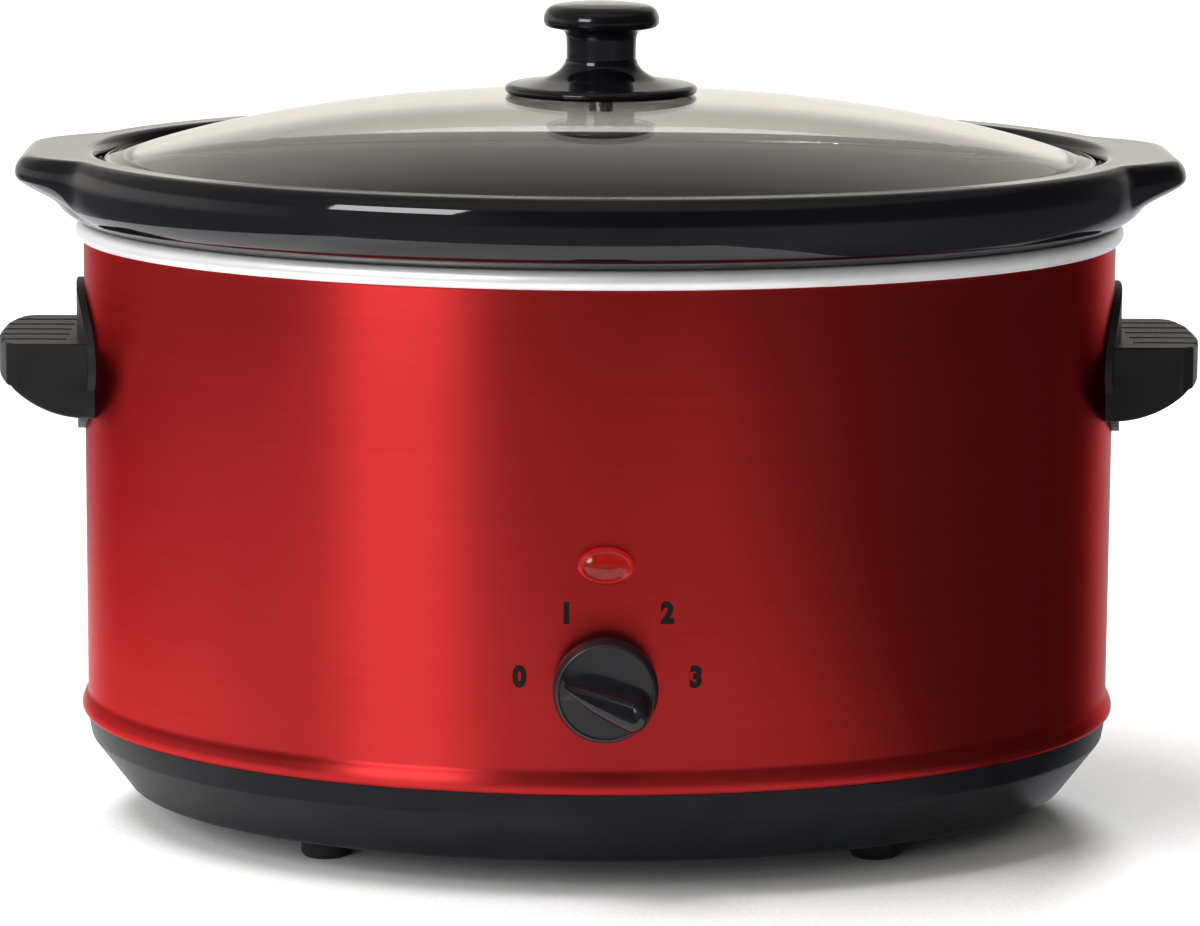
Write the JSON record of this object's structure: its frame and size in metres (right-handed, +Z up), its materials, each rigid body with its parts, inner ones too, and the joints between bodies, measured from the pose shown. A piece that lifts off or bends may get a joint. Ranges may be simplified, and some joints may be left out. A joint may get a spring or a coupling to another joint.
{
  "type": "slow cooker",
  "caption": "Oval electric slow cooker: red steel housing with side handles and a rotary knob, lift-out black ceramic crock and domed glass lid.",
  "frame": {"origin": "on the resting surface, under the centre of the oval housing", "axes": "+Z up, +X to the right along the housing's length, front with the knob towards -Y"},
  "size_m": [0.447, 0.3303, 0.3042],
  "materials": {
    "red_lacquered_steel": "translucent red lacquer over horizontally brushed steel",
    "liner_aluminium": "satin",
    "base_plastic": "fine moulded texture",
    "cover_steel": "zinc plated",
    "screw_steel": "zinc plated",
    "foot_rubber": "matt",
    "shield_aluminium": "plain",
    "band_mica": "mica heating band",
    "tab_brass": "plain",
    "fuse_metal": "plain",
    "switch_plastic": "plain",
    "rotor_plastic": "plain",
    "knob_plastic": "gloss",
    "lens_plastic": "clear red",
    "lamp_glass": "clear",
    "block_plastic": "plain",
    "lead_silicone": "silicone sleeve",
    "gland_plastic": "plain",
    "handle_plastic": "fine moulded texture",
    "crock_ceramic": "black glaze",
    "lid_glass": "clear tempered",
    "gasket_silicone": "silicone"
  },
  "bodies": {
    "housing": {"housing_wrap": "red_lacquered_steel", "liner_pot": "liner_aluminium", "base_pan": "base_plastic", "bottom_cover": "cover_steel", "cover_screws": "screw_steel", "foot_rear_left": "foot_rubber", "foot_front_left": "foot_rubber", "foot_rear_right": "foot_rubber", "foot_front_right": "foot_rubber", "tie_stud": "screw_steel", "tie_washer": "screw_steel", "tie_nut": "screw_steel", "heat_shield": "shield_aluminium", "shield_sleeve": "screw_steel", "shield_nut": "screw_steel", "heating_band": "band_mica", "band_tabs": "tab_brass", "band_clamp": "cover_steel", "clamp_screw": "screw_steel", "thermal_fuse": "fuse_metal", "fuse_clip": "cover_steel", "rotary_switch": "switch_plastic", "switch_nut": "screw_steel", "switch_tabs": "tab_brass", "detent_spring": "cover_steel", "indicator_lens": "lens_plastic", "lens_clip": "cover_steel", "neon_lamp": "lamp_glass", "terminal_block": "block_plastic", "terminal_screws": "tab_brass", "internal_leads": "lead_silicone", "cord_gland": "gland_plastic", "gland_lock_nut": "gland_plastic", "gland_dome_nut": "gland_plastic", "handle_right": "handle_plastic", "handle_left": "handle_plastic", "handle_backing_right": "cover_steel", "handle_backing_left": "cover_steel", "handle_screws": "screw_steel"},
    "knob": {"control_knob": "knob_plastic", "switch_shaft": "screw_steel", "switch_rotor": "rotor_plastic"},
    "crock": {"crock": "crock_ceramic"},
    "lid": {"lid_glass": "lid_glass", "lid_knob_base": "knob_plastic", "lid_knob": "knob_plastic", "lid_gasket": "gasket_silicone", "lid_washer": "screw_steel", "lid_screw": "screw_steel"}
  },
  "joints": [
    {"name": "knob_turn", "type": "hinge", "parent": "housing", "child": "knob", "pos_m": [0, -0.1485, 0.077], "axis": [0, 1, 0], "range_deg": [0, 150]},
    {"name": "crock_lift", "type": "slide", "parent": "housing", "child": "crock", "axis": [0, 0, 1], "range_m": [0, 0.2]},
    {"name": "lid_lift", "type": "slide", "parent": "crock", "child": "lid", "axis": [0, 0, 1], "range_m": [0, 0.1]}
  ]
}
